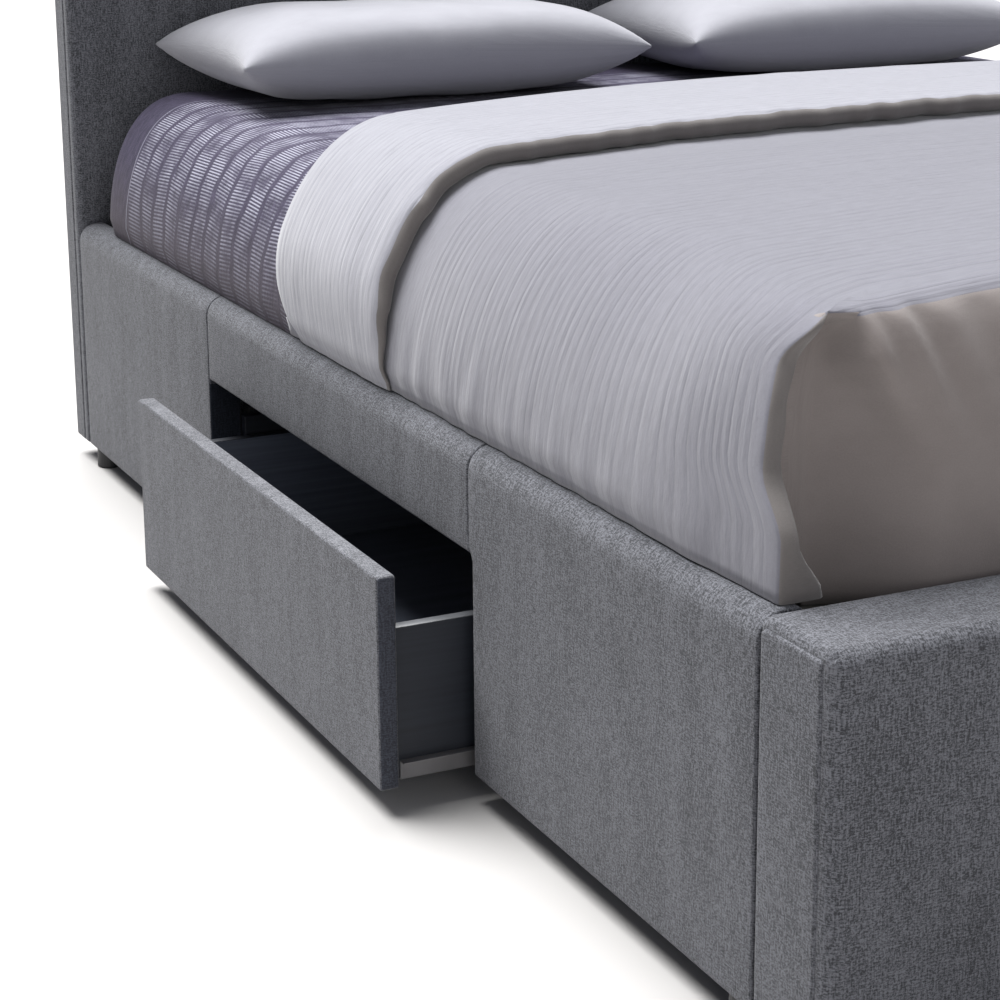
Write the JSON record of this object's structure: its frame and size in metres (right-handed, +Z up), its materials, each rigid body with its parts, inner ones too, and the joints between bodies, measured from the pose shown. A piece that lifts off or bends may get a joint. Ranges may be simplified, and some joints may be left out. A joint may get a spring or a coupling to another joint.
{
  "type": "platform bed with storage drawers",
  "caption": "Upholstered platform bed with padded headboard, low footboard and a roller drawer in each side rail, with mattress, duvet and coverlet in place.",
  "frame": {"origin": "on the floor under the centre leg, midway between the side rails and midway along them", "axes": "+X across the bed to the right seen from the foot, +Y along the bed to the headboard, +Z up"},
  "size_m": [1.766, 2.263, 1.15],
  "materials": {
    "upholstery": "matte",
    "frame_wood": "matte",
    "slat_wood": "satin",
    "dark_laminate": "satin",
    "runner_steel": "satin",
    "bracket_steel": "satin",
    "roller_plastic": "satin",
    "glide_plastic": "matte",
    "mattress_fabric": "matte",
    "duvet_fabric": "matte",
    "coverlet_fabric": "matte",
    "pillow_fabric": "matte"
  },
  "bodies": {
    "frame": {"headboard_cover": "upholstery", "footboard_cover": "upholstery", "headboard_frame": "frame_wood", "footboard_frame": "frame_wood", "left_rail_frame": "frame_wood", "left_rail_pad_foot": "upholstery", "left_rail_pad_bridge": "upholstery", "left_rail_pad_head": "upholstery", "left_ledge": "slat_wood", "right_rail_frame": "frame_wood", "right_rail_pad_foot": "upholstery", "right_rail_pad_bridge": "upholstery", "right_rail_pad_head": "upholstery", "right_ledge": "slat_wood", "cross_panel_foot": "dark_laminate", "cross_panel_head": "dark_laminate", "centre_beam": "slat_wood", "centre_leg": "slat_wood", "slat_roll": "slat_wood", "left_foot_bracket": "bracket_steel", "left_foot_glide": "glide_plastic", "left_cabinet_runner_foot": "runner_steel", "left_head_bracket": "bracket_steel", "left_head_glide": "glide_plastic", "left_cabinet_runner_head": "runner_steel", "right_foot_bracket": "bracket_steel", "right_foot_glide": "glide_plastic", "right_cabinet_runner_foot": "runner_steel", "right_head_bracket": "bracket_steel", "right_head_glide": "glide_plastic", "right_cabinet_runner_head": "runner_steel", "mattress": "mattress_fabric", "duvet": "duvet_fabric", "coverlet": "coverlet_fabric", "left_pillow": "pillow_fabric", "right_pillow": "pillow_fabric"},
    "left_drawer": {"left_front_board": "frame_wood", "left_front_cover": "upholstery", "left_drawer_side_foot": "dark_laminate", "left_drawer_side_head": "dark_laminate", "left_drawer_back": "dark_laminate", "left_drawer_base": "dark_laminate", "left_drawer_runner_foot": "runner_steel", "left_drawer_runner_head": "runner_steel"},
    "left_front_roller_foot": {"left_front_roller_foot": "roller_plastic"},
    "left_rear_roller_foot": {"left_rear_roller_foot": "roller_plastic"},
    "left_front_roller_head": {"left_front_roller_head": "roller_plastic"},
    "left_rear_roller_head": {"left_rear_roller_head": "roller_plastic"},
    "right_drawer": {"right_front_board": "frame_wood", "right_front_cover": "upholstery", "right_drawer_side_foot": "dark_laminate", "right_drawer_side_head": "dark_laminate", "right_drawer_back": "dark_laminate", "right_drawer_base": "dark_laminate", "right_drawer_runner_foot": "runner_steel", "right_drawer_runner_head": "runner_steel"},
    "right_front_roller_foot": {"right_front_roller_foot": "roller_plastic"},
    "right_rear_roller_foot": {"right_rear_roller_foot": "roller_plastic"},
    "right_front_roller_head": {"right_front_roller_head": "roller_plastic"},
    "right_rear_roller_head": {"right_rear_roller_head": "roller_plastic"}
  },
  "joints": [
    {"name": "left_drawer_slide", "type": "slide", "parent": "frame", "child": "left_drawer", "axis": [-1, 0, 0], "range_m": [-0.105, 0.275]},
    {"name": "left_front_roller_foot_spin", "type": "hinge", "parent": "frame", "child": "left_front_roller_foot", "pos_m": [-0.77, -0.4476, 0.0423], "axis": [0, 1, 0], "continuous": true},
    {"name": "left_rear_roller_foot_spin", "type": "hinge", "parent": "left_drawer", "child": "left_rear_roller_foot", "pos_m": [-0.415, -0.4466, 0.0445], "axis": [0, 1, 0], "continuous": true},
    {"name": "left_front_roller_head_spin", "type": "hinge", "parent": "frame", "child": "left_front_roller_head", "pos_m": [-0.77, 0.3756, 0.0423], "axis": [0, 1, 0], "continuous": true},
    {"name": "left_rear_roller_head_spin", "type": "hinge", "parent": "left_drawer", "child": "left_rear_roller_head", "pos_m": [-0.415, 0.3746, 0.0445], "axis": [0, 1, 0], "continuous": true},
    {"name": "right_drawer_slide", "type": "slide", "parent": "frame", "child": "right_drawer", "axis": [1, 0, 0], "range_m": [0, 0.38]},
    {"name": "right_front_roller_foot_spin", "type": "hinge", "parent": "frame", "child": "right_front_roller_foot", "pos_m": [0.77, -0.4476, 0.0423], "axis": [0, 1, 0], "continuous": true},
    {"name": "right_rear_roller_foot_spin", "type": "hinge", "parent": "right_drawer", "child": "right_rear_roller_foot", "pos_m": [0.31, -0.4466, 0.0445], "axis": [0, 1, 0], "continuous": true},
    {"name": "right_front_roller_head_spin", "type": "hinge", "parent": "frame", "child": "right_front_roller_head", "pos_m": [0.77, 0.3756, 0.0423], "axis": [0, 1, 0], "continuous": true},
    {"name": "right_rear_roller_head_spin", "type": "hinge", "parent": "right_drawer", "child": "right_rear_roller_head", "pos_m": [0.31, 0.3746, 0.0445], "axis": [0, 1, 0], "continuous": true}
  ],
  "couplings": [
    {"joint": "left_front_roller_foot_spin", "follows": "left_drawer_slide", "rad_per_m": -111.11},
    {"joint": "left_rear_roller_foot_spin", "follows": "left_drawer_slide", "rad_per_m": -89.286},
    {"joint": "left_front_roller_head_spin", "follows": "left_drawer_slide", "rad_per_m": -111.11},
    {"joint": "left_rear_roller_head_spin", "follows": "left_drawer_slide", "rad_per_m": -89.286},
    {"joint": "right_front_roller_foot_spin", "follows": "right_drawer_slide", "rad_per_m": 111.11},
    {"joint": "right_rear_roller_foot_spin", "follows": "right_drawer_slide", "rad_per_m": 89.286},
    {"joint": "right_front_roller_head_spin", "follows": "right_drawer_slide", "rad_per_m": 111.11},
    {"joint": "right_rear_roller_head_spin", "follows": "right_drawer_slide", "rad_per_m": 89.286}
  ]
}
